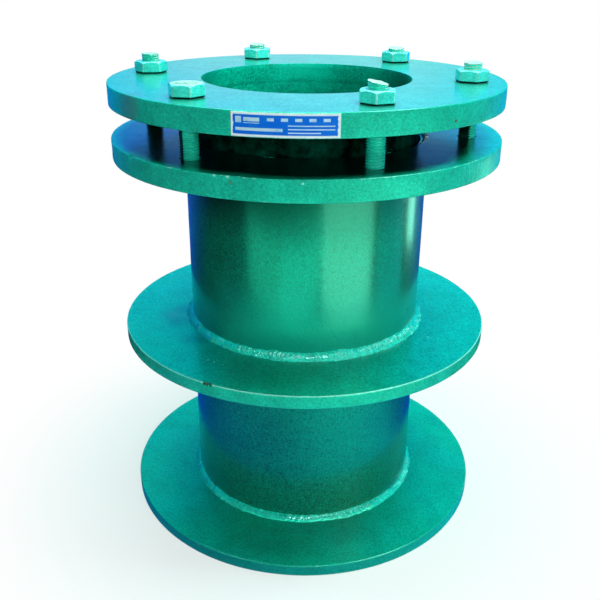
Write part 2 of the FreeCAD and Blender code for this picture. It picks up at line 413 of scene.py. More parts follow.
def softened(radius, level, reach):
    """Each corner of a closed outline replaced by three points, to round it."""
    steps = []
    for side in (1, -1):
        step_r = np.roll(radius, side, 1) - radius
        step_z = np.roll(level, side, 1) - level
        near = np.minimum(reach / np.maximum(np.hypot(step_r, step_z), 1e-6), 0.4)
        steps.append((step_r * near, step_z * near))
    (back_r, back_z), (on_r, on_z) = steps
    r = np.stack([radius + back_r, radius + (back_r + on_r) * 0.22, radius + on_r], 2)
    z = np.stack([level + back_z, level + (back_z + on_z) * 0.22, level + on_z], 2)
    return r.reshape(len(radius), -1), z.reshape(len(radius), -1)


NUT_FLAT = 12.0       # from the axis to a flat
NUT_FACE = 11.4       # radius of the top face inside the chamfer
NUT_CORE = 7.3        # radius of the hole, just wider than the stud
FOOT_INSET = 1.25     # how far the foot lies inside the hexagon
FOOT_HEIGHT = 1.35    # height at which the foot has widened to the hexagon


def nut(name, index):
    """Chamfered hexagon nut with soft, paint-filled edges and an inset foot.

    Materials: flats, cut end for the top of the nut whose stud ends flush with
    it, painted shade on the foot, and painted highlight on the upward faces and the corners."""
    columns = 240
    centre = bolt_place(STUD_ANGLES[index])
    angle = np.arange(columns)[:, None] / columns * 2 * math.pi
    off = np.mod(angle + math.pi / 6, math.pi / 3) - math.pi / 6
    side = NUT_FLAT / np.cos(off)
    side = side - 0.30 * np.exp(-((math.pi / 6 - np.abs(off)) / 0.045) ** 2)
    same = np.ones_like(side)
    low_edge = GLAND_TOP + FOOT_HEIGHT
    high_edge = NUT_TOP - (side - NUT_FACE) * math.tan(math.radians(30))
    mid = (low_edge + high_edge) / 2
    hole = 7.5 if index == 0 else 8.2
    outline = [
        (9.0, GLAND_TOP), (side - FOOT_INSET, GLAND_TOP), (side, low_edge), (side, mid - 1.5),
        (side, mid + 1.5), (side, high_edge), (NUT_FACE, NUT_TOP), (hole, NUT_TOP),
        (NUT_CORE, NUT_TOP - hole + NUT_CORE), (NUT_CORE, GLAND_TOP + 0.8),
    ]
    r = np.concatenate([reach * same for reach, _ in outline], 1)
    z = np.concatenate([height * same for _, height in outline], 1)
    r, z = softened(r, z, 0.42)
    u = angle / (2 * math.pi)
    v = (z - GLAND_TOP) / 10.0
    lump = 0.07 * value_noise(u, v, 26, 4, 400 + index) + 0.03 * value_noise(u, v, 90, 12, 410 + index)
    r = r + np.where(r > 9.5, lump, 0)
    z = z - np.where(z > NUT_TOP - 0.3, np.abs(lump) * 0.7, 0)
    turn = math.radians(NUT_TURN[index])
    points = np.stack([centre[0] + r * np.cos(angle + turn), centre[1] + r * np.sin(angle + turn), z], -1)
    piece = build(name, points, grid_faces(columns, r.shape[1], True), 55.0)
    for face in piece.data.polygons:
        x, y, _ = middle_of(face)
        place = math.atan2(y - centre[1], x - centre[0]) - turn
        corner = abs((place + math.pi / 6) % (math.pi / 3) - math.pi / 6) > math.radians(27.3)
        # The downward foot gets painted shade, and the upward faces and the corners get painted highlight
        if face.normal.z < -0.3:
            face.material_index = 2
        elif face.normal.z > 0.9 and index == 0:
            face.material_index = 1
        elif face.normal.z > 0.3 or corner:
            face.material_index = 3
    return piece


# Label on the rim: a printed plate with a plain pattern of bars

LABEL_ANGLE = -95.2
LABEL_LOW = 359.7
LABEL_WIDE = 71.0
LABEL_TALL = 15.6
LABEL_CELL = 0.25
# Left, top, width and height in millimetres from the label's upper left corner
LABEL_BARS = [
    (3.0, 2.75, 4.0, 4.0), (8.5, 3.25, 10.5, 2.5), (8.5, 6.5, 10.5, 0.5), (24.0, 3.25, 4.5, 2.0),
    (33.0, 3.25, 4.5, 2.0), (42.0, 3.25, 4.5, 2.0), (51.0, 3.25, 4.5, 2.0), (60.0, 3.25, 4.5, 2.0),
    (3.0, 9.75, 31.0, 2.0), (37.5, 7.5, 30.0, 0.75), (37.5, 9.75, 30.0, 0.75), (37.5, 12.0, 21.0, 0.75),
]


def label(name):
    """Curved plate. Materials: border, field and bars."""
    columns = round(LABEL_WIDE / LABEL_CELL)
    rows = round(LABEL_TALL / LABEL_CELL)
    i = np.arange(columns + 1)[:, None]
    j = np.arange(rows + 1)[None, :]
    u = i / columns
    v = j / rows
    wrapped = u * 0.98
    curl = 0.10 * value_noise(wrapped, v, 9, 2, 61) + 0.05 * value_noise(wrapped, v, 23, 5, 62)
    edge = np.minimum(np.minimum(u, 1 - u) * LABEL_WIDE, np.minimum(v, 1 - v) * LABEL_TALL)
    front = PLATE_RADIUS + 0.40 + 0.12 * np.exp(-edge / 1.0) + curl
    back = PLATE_RADIUS - 0.3
    start = math.radians(LABEL_ANGLE) - LABEL_WIDE / PLATE_RADIUS / 2
    angle = start + i * LABEL_CELL / PLATE_RADIUS + 0 * v
    ragged = 0.12 * value_noise(wrapped, v, 120, 3, 63)
    level = LABEL_LOW + v * LABEL_TALL + np.where((j == 0) | (j == rows), ragged, 0.0)
    points = [
        np.stack([reach * np.cos(angle), reach * np.sin(angle), level], -1).reshape(-1, 3)
        for reach in (front, back)
    ]

    x = (np.arange(columns) + 0.5)[:, None] * LABEL_CELL
    y = LABEL_TALL - (np.arange(rows) + 0.5)[None, :] * LABEL_CELL
    kind = np.ones((columns, rows), int)
    left_border = 1.4 + 0.35 * value_noise(x / LABEL_WIDE, y / LABEL_TALL, 2, 9, 65)
    right_border = LABEL_WIDE - 1.7 + 0.4 * value_noise(x / LABEL_WIDE, y / LABEL_TALL, 2, 9, 66)
    kind[(x < left_border) | (x > right_border) | (y < 1.5) | (y > LABEL_TALL - 1.5)] = 0
    for left, top, wide, high in LABEL_BARS:
        kind[(x > left) & (x < left + wide) & (y > top) & (y < top + high)] = 2

    count = (columns + 1) * (rows + 1)
    faces = []
    kinds = []
    for a in range(columns):
        for b in range(rows):
            first = a * (rows + 1) + b
            quad = (first, first + rows + 1, first + rows + 2, first + 1)
            faces.append(quad)
            kinds.append(int(kind[a, b]))
            faces.append(tuple(count + k for k in reversed(quad)))
            kinds.append(0)
    rim = [k * (rows + 1) for k in range(columns + 1)]
    rim += [columns * (rows + 1) + k for k in range(1, rows + 1)]
    rim += [k * (rows + 1) + rows for k in range(columns - 1, -1, -1)]
    rim += range(rows - 1, 0, -1)
    for one, two in zip(rim, rim[1:] + rim[:1]):
        faces.append((one, count + one, count + two, two))
        kinds.append(0)
    piece = build(name, np.concatenate(points), faces, 40.0)
    piece.data.polygons.foreach_set("material_index", kinds)
    return piece


# Materials

class Graph:
    """The nodes of a material or of the world."""

    def __init__(self, owner):
        owner.use_nodes = True
        self.owner = owner
        self.tree = owner.node_tree
        self.tree.nodes.clear()

    def put(self, kind, inputs, output=0, **settings):
        """New node. Its inputs are values or sockets to link."""
        node = self.tree.nodes.new(kind)
        for key, value in settings.items():
            setattr(node, key, value)
        for key, value in inputs.items():
            if isinstance(value, bpy.types.NodeSocket):
                self.tree.links.new(value, node.inputs[key])
            else:
                node.inputs[key].default_value = value
        return node.outputs[output]

    def place(self):
        return self.put("ShaderNodeTexCoord", {}, "Object")

    def split(self, vector):
        node = self.tree.nodes.new("ShaderNodeSeparateXYZ")
        self.tree.links.new(vector, node.inputs[0])
        return node.outputs

    def joined(self, x, y, z):
        return self.put("ShaderNodeCombineXYZ", {0: x, 1: y, 2: z})

    def math(self, operation, a, b=0.0):
        return self.put("ShaderNodeMath", {0: a, 1: b}, operation=operation)

    def add(self, a, b):
        return self.math("ADD", a, b)

    def sub(self, a, b):
        return self.math("SUBTRACT", a, b)

    def mul(self, a, b):
        return self.math("MULTIPLY", a, b)

    def swing(self, noise, size):
        """Noise shifted to lie about zero, times a size."""
        return self.mul(self.sub(noise, 0.5), size)

    def scaled(self, vector, factors, shift=(0, 0, 0)):
        return self.put("ShaderNodeMapping", {"Vector": vector, "Scale": factors, "Location": shift})

    def noise(self, vector, scale, detail=2.0, rough=0.5, distortion=0.0):
        inputs = {"Vector": vector, "Scale": scale, "Detail": detail, "Roughness": rough, "Distortion": distortion}
        return self.put("ShaderNodeTexNoise", inputs)

    def step(self, value, low, high):
        """From zero at the low value to one at the high value."""
        inputs = {"Value": value, "From Min": low, "From Max": high}
        return self.put("ShaderNodeMapRange", inputs, interpolation_type="SMOOTHSTEP")

    def within(self, value, low, high):
        """From one at the low value to zero at the high value."""
        return self.sub(1.0, self.step(value, low, high))

    def mix(self, factor, a, b, blend="MIX"):
        return self.put("ShaderNodeMix", {0: factor, 6: a, 7: b}, 2, data_type="RGBA", blend_type=blend)

    def far(self, a, b):
        return self.put("ShaderNodeVectorMath", {0: a, 1: b}, "Value", operation="DISTANCE")

    def rays(self):
        """Whether a ray is the camera's, and whether it is a glossy or transmission ray."""
        path = self.tree.nodes.new("ShaderNodeLightPath")
        mirrored = self.math("MAXIMUM", path.outputs["Is Glossy Ray"], path.outputs["Is Transmission Ray"])
        return path.outputs["Is Camera Ray"], mirrored

    def finish(self, shader, kind="ShaderNodeOutputMaterial"):
        out = self.tree.nodes.new(kind)
        self.tree.links.new(shader, out.inputs["Surface"])
        return self.owner


def new_material(name):
    return Graph(bpy.data.materials.new(name))


BLACK = (0, 0, 0, 1)
WHITE = (1, 1, 1, 1)
GREEN = (0.001, 0.45, 0.25, 1)
TEAL = (0.001, 0.42, 0.28, 1)
DARK = (0.0005, 0.20, 0.12, 1)
# Rims are lighter than the plates' faces: painted light for the light that reaches the rims
PAINTED_LIT_RIM = (0.010, 0.56, 0.38, 1)
PALE = (0.34, 0.78, 0.62, 1)
RUST = (0.16, 0.055, 0.02, 1)
# Painted light for the pipe just above the middle wing, then painted shade for the flange's face under the gland and
# for the pipe under the flange
PAINTED_LIGHT = (0.002, 0.36, 0.25, 1)
PAINTED_SHADE = (0.001, 0.010, 0.010, 1)
COOL_GLOSS = (0.25, 1.0, 0.7, 1)
WARM_GLOSS = (0.8, 1.0, 0.9, 1)

# Heights in metres over which a paint fades in or out
FLANGE_FACE = (0.3318, 0.3323)
# Heights where the painted light on the pipe above the middle wing fades in and out
PAINTED_LIGHT_FOOT = (0.158, 0.164)
PAINTED_LIGHT_HEAD = (0.185, 0.240)


def paint(name, seed, base=GREEN, second=TEAL, roughness=0.32, specular=0.5, tint=COOL_GLOSS, coat=1.0,
          coat_rough=0.18, stroke=(10, 10, 260), slant=0.10, lumps=1.0, grit=1.0, pale=PALE, edges=(),
          spots=(), stains_and_painted_shading=(), streaks=(), shade=None, under=None):
    """Thick brushed enamel over steel.

    Stroke gives the brush marks' scale along x, y and z, slant their lean,
    lumps the height of the slow unevenness and grit the strength of the fine
    mottling. Edges are (radius, height, reach, share) of corners turned to the
    pale colour: paint rubbed off on the plates, painted highlight on the weld.
    Spots are (place, size, colour) of chips and specks, stains the same for
    soft smudges, which are real stains in some places and painted shade and
    painted light in others, and streaks (place, turn, length, width) of pale
    scuffs. Shade holds the two radii between which the flange's top face
    darkens inwards under the gland: painted shade. Under holds the two heights
    between which the pipe darkens upwards below the flange, as painted shade,
    and gives the pipe a lighter band above the wing, as painted light."""
    g = new_material(name)
    at = g.place()
    moved = g.scaled(at, (1, 1, 1), (seed * 1.7, seed * 0.9, seed * 2.3))
    broad = g.noise(moved, 9.0, 3.0)
    middle = g.noise(moved, 46.0, 4.0, 0.62)
    fine = g.noise(moved, 420.0, 4.0, 0.66)
    x, y, z = g.split(at)
    radius = g.math("SQRT", g.add(g.mul(x, x), g.mul(y, y)))
    leaning = g.add(g.add(z, seed * 0.31), g.mul(g.add(x, y), slant))
    marks = g.joined(g.mul(x, stroke[0]), g.mul(y, stroke[1]), g.mul(leaning, stroke[2]))
    brush = g.noise(marks, 1.0, 5.0, 0.66, 0.3)
    colour = g.mix(g.step(broad, 0.35, 0.65), base, second)
    colour = g.mix(g.mul(g.step(middle, 0.34, 0.70), 0.34), colour, DARK)
    speck = g.noise(moved, 900.0, 2.0, 0.7)
    grain = g.add(g.mul(fine, 0.9 * grit), g.add(g.mul(speck, 1.5 * grit), 1 - 1.2 * grit))
    tinted = g.mul(grain, g.add(g.mul(brush, 0.50), 0.75))
    colour = g.mix(1.0, colour, g.put("ShaderNodeCombineColor", {0: tinted, 1: tinted, 2: tinted}), "MULTIPLY")
    rough = g.add(g.mul(middle, 0.16), roughness - 0.08)
    rough = g.add(rough, g.swing(brush, 0.14))
    if shade:
        # Painted shade on the flange's top face under the gland. It reaches less far in on the right, where more
        # light gets under the gland
        right = g.mul(g.math("MAXIMUM", g.sub(x, 0.07), 0.0), 0.26)
        shade_mask = g.within(g.add(g.add(radius, right), g.swing(middle, 0.016)), *shade)
        colour = g.mix(g.mul(g.step(z, *FLANGE_FACE), shade_mask), colour, PAINTED_SHADE)
    # Painted shade on the pipe, darker upwards under the flange, and painted light in a lighter band just above the
    # middle wing
    if under:
        colour = g.mix(g.mul(g.step(z, *under), 0.9), colour, PAINTED_SHADE)
        colour = g.mix(g.mul(g.step(z, *PAINTED_LIGHT_FOOT), g.within(z, *PAINTED_LIGHT_HEAD)), colour, PAINTED_LIGHT)
    for corner_radius, corner_height, reach, share in edges:
        away = g.far(g.joined(radius, z, 0.0), (corner_radius, corner_height, 0))
        mask = g.within(away, reach * 0.3, reach)
        broken = g.step(g.noise(moved, 150.0, 4.0, 0.7), 1 - share - 0.06, 1 - share + 0.06)
        colour = g.mix(g.mul(mask, broken), colour, pale)
    for place, size, tone in stains_and_painted_shading:
        bent = g.add(g.far(at, place), g.swing(middle, size * 0.9))
        colour = g.mix(g.mul(g.within(bent, size * 0.2, size), 0.55), colour, tone)
    for place, turn, length, width in streaks:
        local = g.put("ShaderNodeVectorMath", {0: at, 1: place}, operation="SUBTRACT")
        local = g.put("ShaderNodeMapping", {"Vector": local, "Rotation": (0, 0, -math.radians(turn))})
        local = g.scaled(local, (1 / length, 1 / width, 1 / width))
        bent = g.add(g.far(local, (0, 0, 0)), g.swing(fine, 1.6))
        colour = g.mix(g.mul(g.within(bent, 0.4, 1.0), 0.6), colour, pale)
    for place, size, tone in spots:
        bent = g.add(g.far(at, place), g.swing(g.noise(moved, 700.0, 2.0), size * 1.1))
        mask = g.within(bent, size * 0.7, size)
        colour = g.mix(mask, colour, tone)
        rough = g.add(rough, g.mul(mask, 0.25))
    height = g.swing(broad, 0.0012 * lumps)
    for layer, size in ((middle, 0.00016 * lumps), (fine, 0.00012 * grit), (brush, 0.00006), (speck, 0.00008 * grit)):
        height = g.add(height, g.mul(layer, size))
    normal = g.put("ShaderNodeBump", {"Strength": 1.0, "Distance": 1.0, "Height": height})
    return g.finish(g.put("ShaderNodeBsdfPrincipled", {
        "Base Color": colour, "Roughness": rough, "Normal": normal, "IOR": 1.5,
        "Specular IOR Level": specular, "Specular Tint": tint,
        "Coat Weight": coat, "Coat Roughness": coat_rough, "Coat IOR": 1.5,
    }))


def rubber(name):
    """Black moulded rubber with a fine grain and a dusty bloom."""
    g = new_material(name)
    at = g.place()
    bloom = g.noise(at, 30.0, 5.0, 0.6)
    grain = g.noise(at, 900.0, 3.0)
    colour = g.mix(g.step(bloom, 0.4, 0.75), (0.012, 0.012, 0.013, 1), (0.045, 0.045, 0.043, 1))
    rough = g.add(g.mul(bloom, 0.25), 0.5)
    normal = g.put("ShaderNodeBump", {"Strength": 0.6, "Distance": 0.00006, "Height": grain})
    return g.finish(g.put("ShaderNodeBsdfPrincipled", {"Base Color": colour, "Roughness": rough, "Normal": normal}))


def printed(name, tone, dirt):
    """Printed foil: one ink with faint scuffs."""
    g = new_material(name)
    scuff = g.noise(g.scaled(g.place(), (1, 1, 2.5)), 120.0, 5.0, 0.7)
    colour = g.mix(g.step(scuff, 0.45, 0.85), tone, dirt)
    rough = g.add(g.mul(scuff, 0.25), 0.38)
    normal = g.put("ShaderNodeBump", {"Strength": 0.4, "Distance": 0.0001, "Height": scuff})
    return g.finish(g.put("ShaderNodeBsdfPrincipled", {
        "Base Color": colour, "Roughness": rough, "Normal": normal, "Specular IOR Level": 0.2,
    }))


def mm(x, y, z):
    return (x * MM, y * MM, z * MM)


def plate_paints(name, seed, edges, rim=PAINTED_LIT_RIM, spots=(), stains_and_painted_shading=(), **settings):
    """Materials of a plate's flat faces and of its torch-cut rim.

    Edges are (height in millimetres, reach, share) of the rim's worn corners."""
    marks = {
        "edges": [(PLATE_RADIUS * MM, height * MM, reach, share) for height, reach, share in edges],
        "spots": spots, "stains_and_painted_shading": stains_and_painted_shading,
    }
    faces = paint(name + "_paint", seed, stroke=(60, 14, 40), grit=1.4, **marks, **settings)
    second = (rim[0], rim[1] * 0.88, rim[2] * 0.93, 1)
    around = paint(name + "_rim", seed + 20, base=rim, second=second, roughness=0.42, stroke=(30, 30, 60),
                   coat=0.25, coat_rough=0.3, **marks)
    return [faces, around]


gland_paints = plate_paints(
    "gland", 1, [(GLAND_TOP, 0.0009, 0.30), (GLAND_LOW, 0.0010, 0.35)],
    base=(0.03, 0.40, 0.25, 1), second=(0.04, 0.38, 0.28, 1),
    spots=[
        (mm(100.6, -124.4, 364.5), 0.0012, RUST),
        (mm(-119, 47, 376), 0.0012, DARK),
        (mm(-8.5, -122, 376), 0.0013, DARK),
    ],
    stains_and_painted_shading=[(mm(-126.8, -97.6, 366.9), 0.020, (0.10, 0.13, 0.07, 1))],
    streaks=[
        (mm(-17, -93, 376), 15, 0.009, 0.0012),
        (mm(-5, -114, 376), -10, 0.007, 0.001),
        (mm(7, -129, 376), 20, 0.006, 0.0012),
    ])
flange_paints = plate_paints(
    "flange", 2, [(FLANGE_TOP, 0.0011, 0.40), (FLANGE_LOW, 0.0010, 0.35)],
    shade=(0.148, 0.160), specular=0.1,
    spots=[
        (mm(-62, -147.5, 332), 0.0013, PALE),
        (mm(-53, -151, 332), 0.0014, PALE),
        (mm(-51.2, -151.6, 328.4), 0.0020, (0.05, 0.30, 0.22, 1)),
        (mm(-2.8, -160, 329.7), 0.001, PALE),
        (mm(-128.3, -95.6, 335), 0.003, (0.001, 0.08, 0.05, 1)),
    ])
SPATTER = [
    (-77.3, -104.6, 0.0010), (-72.2, -107.8, 0.0010), (-79.5, -107.5, 0.0006),
    (-70.0, -104.5, 0.0006), (-88.0, -92.5, 0.0007), (-64.5, -112.0, 0.0006),
]
wing_paints = plate_paints(
    "wing", 3, [(WING_TOP, 0.0010, 0.62), (WING_LOW, 0.0010, 0.3)],
    base=(0.001, 0.43, 0.26, 1), second=(0.001, 0.40, 0.29, 1),
    spots=[
        (mm(-72.2, -142.8, 168.9), 0.0021, (0.03, 0.02, 0.01, 1)),
        (mm(-74.0, -141.9, 168.9), 0.0021, (0.05, 0.03, 0.01, 1)),
        (mm(-76.0, -140.8, 168.9), 0.0019, (0.05, 0.03, 0.01, 1)),
        (mm(-69.0, -144.4, 169.4), 0.0012, PALE),
        (mm(-78.6, -139.4, 169.5), 0.0011, PALE),
        (mm(104.8, -60.9, 169.5), 0.0011, PALE),
        (mm(145.3, 64.2, 169.3), 0.0012, RUST),
    ] + [(mm(x, y, WING_TOP), size, PALE) for x, y, size in SPATTER],
    # The dark smudges round the pipe's left foot are painted shadow of the pipe, the bluish ones a painted reflection
    # of it
    stains_and_painted_shading=[
        (mm(-112, -20, 169.5), 0.024, (0.03, 0.07, 0.12, 1)),
        (mm(-107, -6, 169.5), 0.016, (0.001, 0.03, 0.05, 1)),
        (mm(-109, -34, 169.5), 0.016, (0.001, 0.04, 0.05, 1)),
        (mm(-92, -66, 169.5), 0.018, (0.001, 0.06, 0.04, 1)),
        (mm(-118, -18, 169.5), 0.007, (0.10, 0.22, 0.24, 1)),
    ])
# The base wing's rim is darker than the other rims: painted shade near the floor
base_paints = plate_paints(
    "base", 4, [(BASE_TOP, 0.0009, 0.30)], rim=(0.004, 0.30, 0.23, 1),
    base=(0.001, 0.42, 0.25, 1), second=(0.001, 0.39, 0.28, 1))
# The pipe's paint is much darker than the plates': painted shade, and the dark patches at its lower left are painted
# shade too
pipe_paint = paint(
    "pipe_paint", 5, base=(0.001, 0.16, 0.09, 1), second=(0.001, 0.15, 0.10, 1), slant=0.25, lumps=0.9,
    grit=2.3, under=(0.255, 0.300),
    stains_and_painted_shading=[
        (mm(-84, -60, 194), 0.042, (0.0, 0.06, 0.04, 1)),
        (mm(-97, -32, 192), 0.036, (0.0, 0.05, 0.04, 1)),
    ])
# The bore paint is lighter than the plates' as painted light. The dark patches at the bore's right and left ends are
# painted shade, and the pale one on its far wall is painted light
nose_paint = paint(
    "nose_paint", 6, base=(0.001, 0.58, 0.38, 1), roughness=0.4, lumps=1.3, specular=0.3, coat=0.15, grit=1.6,
    stains_and_painted_shading=[
        (mm(86, 40, 375), 0.040, (0.0, 0.02, 0.015, 1)),
        (mm(88, 20, 370), 0.030, (0.0, 0.01, 0.008, 1)),
        (mm(-98, 15, 372), 0.050, (0.0, 0.14, 0.10, 1)),
        (mm(0, 92, 384), 0.050, (0.002, 0.95, 0.66, 1)),
    ])
# Near black for the nose's outside: painted shade in the gap between the flanges
nose_painted_shade = paint(
    "nose_painted_shade", 16, base=(0.0003, 0.0012, 0.0008, 1), second=(0.0003, 0.0008, 0.0006, 1),
    roughness=0.5, specular=0.02, coat=0.0)
# Nearly as dark for the weld round the nose: painted shade in the gap
nose_weld_painted_shade = paint(
    "nose_weld_painted_shade", 17, base=(0.001, 0.035, 0.024, 1), second=(0.001, 0.016, 0.012, 1),
    roughness=0.4, specular=0.12, lumps=0.3, coat=0.0)
# The weld's very pale base and the pale flecks on its crest stand in for glints: painted highlight. The darker
# patches dim the bead towards its ends: painted shade
weld_paint = paint(
    "weld_paint", 7, base=(0.012, 0.95, 0.72, 1), second=(0.006, 0.74, 0.55, 1),
    roughness=0.24, lumps=0.3, tint=WARM_GLOSS, coat_rough=0.10,
    edges=[(0.1048, 0.1740, 0.0026, 0.42)], pale=(0.36, 1.0, 0.92, 1),
    stains_and_painted_shading=[
        (mm(-104, -14, 173), 0.050, (0.001, 0.26, 0.20, 1)),
        (mm(-88, -56, 173), 0.022, (0.001, 0.26, 0.20, 1)),
        (mm(103, 16, 173), 0.050, (0.001, 0.26, 0.20, 1)),
    ])
THICK = {"roughness": 0.26, "lumps": 0.3, "tint": WARM_GLOSS, "coat_rough": 0.12}
nut_paint = paint("nut_paint", 8, base=(0.09, 0.93, 0.84, 1), second=(0.05, 0.86, 0.74, 1), grit=0.6, **THICK)
# Paler paint for the nuts' upward faces and corners: painted highlight
nut_painted_highlight = paint("nut_painted_highlight", 19, base=(0.46, 0.95, 0.86, 1), second=(0.26, 0.90, 0.80, 1), grit=0.5, **THICK)
# The studs' paint is lightened to stand for light reaching them in the gap: painted light
stud_paint = paint("stud_paint", 9, base=(0.02, 0.76, 0.55, 1), second=(0.01, 0.62, 0.44, 1), grit=0.4, **THICK)
stud_end = paint(
    "stud_end", 10, base=(0.84, 0.70, 0.56, 1), second=(0.70, 0.60, 0.44, 1), roughness=0.4, lumps=0.6, coat=0.0,
    stains_and_painted_shading=[
        (mm(-84, -106.5, 385.7), 0.0050, (0.20, 0.12, 0.06, 1)),
        (mm(-91, -103, 385.7), 0.0035, (0.16, 0.12, 0.06, 1)),
        (mm(-79, -102, 385.7), 0.0035, (0.26, 0.18, 0.10, 1)),
    ])
# Near black for the shanks' sides away from the light and for the nuts' feet: painted shade
dark_painted_shade = paint(
    "dark_painted_shade", 18, base=(0.001, 0.012, 0.009, 1), second=(0.001, 0.006, 0.005, 1),
    roughness=0.5, specular=0.15, lumps=0.4, coat=0.0)
foil_white = printed("foil_white", (0.93, 0.98, 0.98, 1), (0.60, 0.80, 0.80, 1))
foil_blue = printed("foil_blue", (0.001, 0.15, 0.80, 1), (0.003, 0.25, 0.85, 1))
foil_bars = printed("foil_bars", (0.60, 0.80, 0.92, 1), (0.10, 0.40, 0.85, 1))


# Pieces

FLOOR_GAP = 0.08      # keeps the base wing's underside clear of the floor
TAPPED_HOLE = 7.4
CLEARANCE_HOLE = 8.5
NOSE_STEP = 0.03      # how far the nose's bore lies behind the gland plate's
NOSE_SUNK = 1.2       # how far the nose stands inside the gland plate
# Radii in metres that tell a plate's rim, a plate's bore and the nose's outside
# from the other faces
RIM_FROM = 0.1592
BORE_TO = 0.1026
NOSE_OUTSIDE = 0.0905


def dress(piece, body, slot, materials, *nodes):
    """Put a piece on its body, in place of the solids it stands for."""
    for material in materials:
        piece.data.materials.append(material)
    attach(piece, body)
    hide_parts(*nodes)
    return piece


def dress_plate(piece, body, materials, node):
    """Plate on its body, its rim and its bore in materials of their own."""
    for face in piece.data.polygons:
        reach = math.hypot(face.center.x, face.center.y)
        upright = abs(face.normal.z) < 0.8
        face.material_index = 1 if upright and reach > RIM_FROM else 2 if upright and reach < BORE_TO else 0
    dress(piece, body, "plate_paint", materials + [nose_paint], node)


pipe = lathe("pipe_shell", tube(SLEEVE_RADIUS, SLEEVE_INNER, SLEEVE_LOW, SLEEVE_HIGH, 5.0), 360, pipe_wobble)
dress(pipe, "sleeve", "plate_paint", [pipe_paint], "sleeve_pipe")
base_wing = plate("base_wing", PLATE_BORE, FLOOR_GAP, BASE_TOP, 31, 0.25, 0.04)
dress_plate(base_wing, "sleeve", base_paints, "end_wing_ring")
chips = [(-116.9, 0.9, 1.0, 169.0)]
middle_wing = plate("middle_wing", PLATE_BORE, WING_LOW, WING_TOP, 41, 0.25, 0.04, dents=chips)
dress_plate(middle_wing, "sleeve", wing_paints, "middle_wing_ring")
chips = [(-143.3, 0.8, 1.2, 332.5), (-108.6, 1.4, 0.7, 330.0)]
stud_plate = plate("stud_plate", PLATE_BORE, FLANGE_LOW, FLANGE_TOP, 51, 0.35, 0.08, TAPPED_HOLE, chips)
dress_plate(stud_plate, "sleeve", flange_paints, "stud_flange")
gland_plate = plate("gland_plate", GLAND_BORE, GLAND_LOW, GLAND_TOP, 61, 0.3, 0.04, CLEARANCE_HOLE)
dress_plate(gland_plate, "gland", gland_paints, "gland_flange")
nose_outline = tube(NOSE_RADIUS, GLAND_BORE + NOSE_STEP, NOSE_END, GLAND_LOW + NOSE_SUNK, 5.0)
nose = lathe("nose_shell", nose_outline, 300)
dress(nose, "gland", "plate_paint", [nose_paint, nose_painted_shade], "gland_nose")
# The nose's outside gets the painted shade
for face in nose.data.polygons:
    face.material_index = int(math.hypot(face.center.x, face.center.y) > NOSE_OUTSIDE)
stop = lathe("stop_shell", tube(RING_OUTER, RETAINING_INNER, RETAINING_LOW, RETAINING_TOP, 3.0), 240)
dress(stop, "sleeve", "plate_paint", [nose_paint], "retaining_ring")

# Hand welding that the photo shows: spans laid differently, and starts and stops
wing_spans = [
    (-141.0, 19.0, 0.06, -0.04, 9.0, 0.10), (-110.0, 10.5, 0.95, 0.04, 3.4, 0.25),
    (-88.0, 6.0, 0.12, 0.0, 5.0, 0.15), (-75.5, 6.0, 0.50, 0.12, 5.5, 0.95),
    (-64.0, 5.0, 0.60, 0.0, 5.0, 0.25), (-44.0, 14.5, 0.85, 0.06, 2.6, 0.30),
]
wing_blobs = [
    (-137.7, 0.9, 0.45), (-121.7, 1.3, 0.80), (-97.0, 1.6, 0.40),
    (-92.5, 1.2, 0.35), (-77.0, 1.0, 0.5), (-71.0, 0.9, 0.45),
]
base_spans = [
    (-150.0, 20.0, 0.08, 0.0, 6.0, 0.15), (-105.0, 18.0, 0.22, 0.0, 5.0, 0.25),
    (-60.0, 20.0, 0.40, 0.06, 5.5, 0.55),
]
inside = {"columns": 800, "rows": 9, "crown": 0.4, "ripple": 0.2}
for name, node, corner, legs, seed, settings in (
        ("wing_bead_top", "weld_middle_wing_top", (SLEEVE_RADIUS, WING_TOP), (5.3, 5.3), 71,
         {"ripple": 0.30, "sections": wing_spans, "bumps": wing_blobs}),
        ("wing_bead_under", "weld_middle_wing_under", (SLEEVE_RADIUS, WING_LOW), (5.5, -5.5), 81,
         {"columns": 800, "rows": 9}),
        ("base_bead_top", "weld_end_wing_top", (SLEEVE_RADIUS, BASE_TOP), (4.2, 4.2), 91,
         {"ripple": 0.2, "sections": base_spans}),
        ("base_bead_inside", "weld_end_wing_inside", (PLATE_BORE, SLEEVE_LOW), (-4.9, -3.4), 101, inside),
        ("flange_bead_under", "weld_stud_flange_under", (SLEEVE_RADIUS, FLANGE_LOW), (5.0, -5.0), 111,
         {"columns": 900, "rows": 9}),
        ("flange_bead_inside", "weld_stud_flange_inside", (PLATE_BORE, SLEEVE_HIGH), (-4.9, 3.4), 121, inside),
        ("stop_bead", "weld_retaining_ring", (SLEEVE_INNER, RETAINING_LOW), (-5.0, -5.0), 131,
         {"columns": 700, "rows": 9})):
    dress(weld(name, corner, legs, seed, **settings), "sleeve", "weld_paint", [weld_paint], node)
nose_bead = weld("nose_bead", (NOSE_RADIUS, GLAND_LOW), (5.0, -5.0), 141, 900, 9, ripple=0.4)
dress(nose_bead, "gland", "weld_paint", [nose_weld_painted_shade], "weld_gland_nose")

stud_materials = [stud_paint, stud_end, dark_painted_shade]
nut_materials = [nut_paint, stud_end, dark_painted_shade, nut_painted_highlight]
for index in range(6):
    number = str(index + 1)
    dress(stud("threaded_stud_" + number, index), "sleeve", "stud_paint", stud_materials, "stud_" + number)
    dress(nut("hex_nut_" + number, index), "nut_" + number, "nut_paint", nut_materials, "nut_" + number)

dress(label("label_foil"), "gland", "label_print", [foil_white, foil_blue, foil_bars], "label_plate")


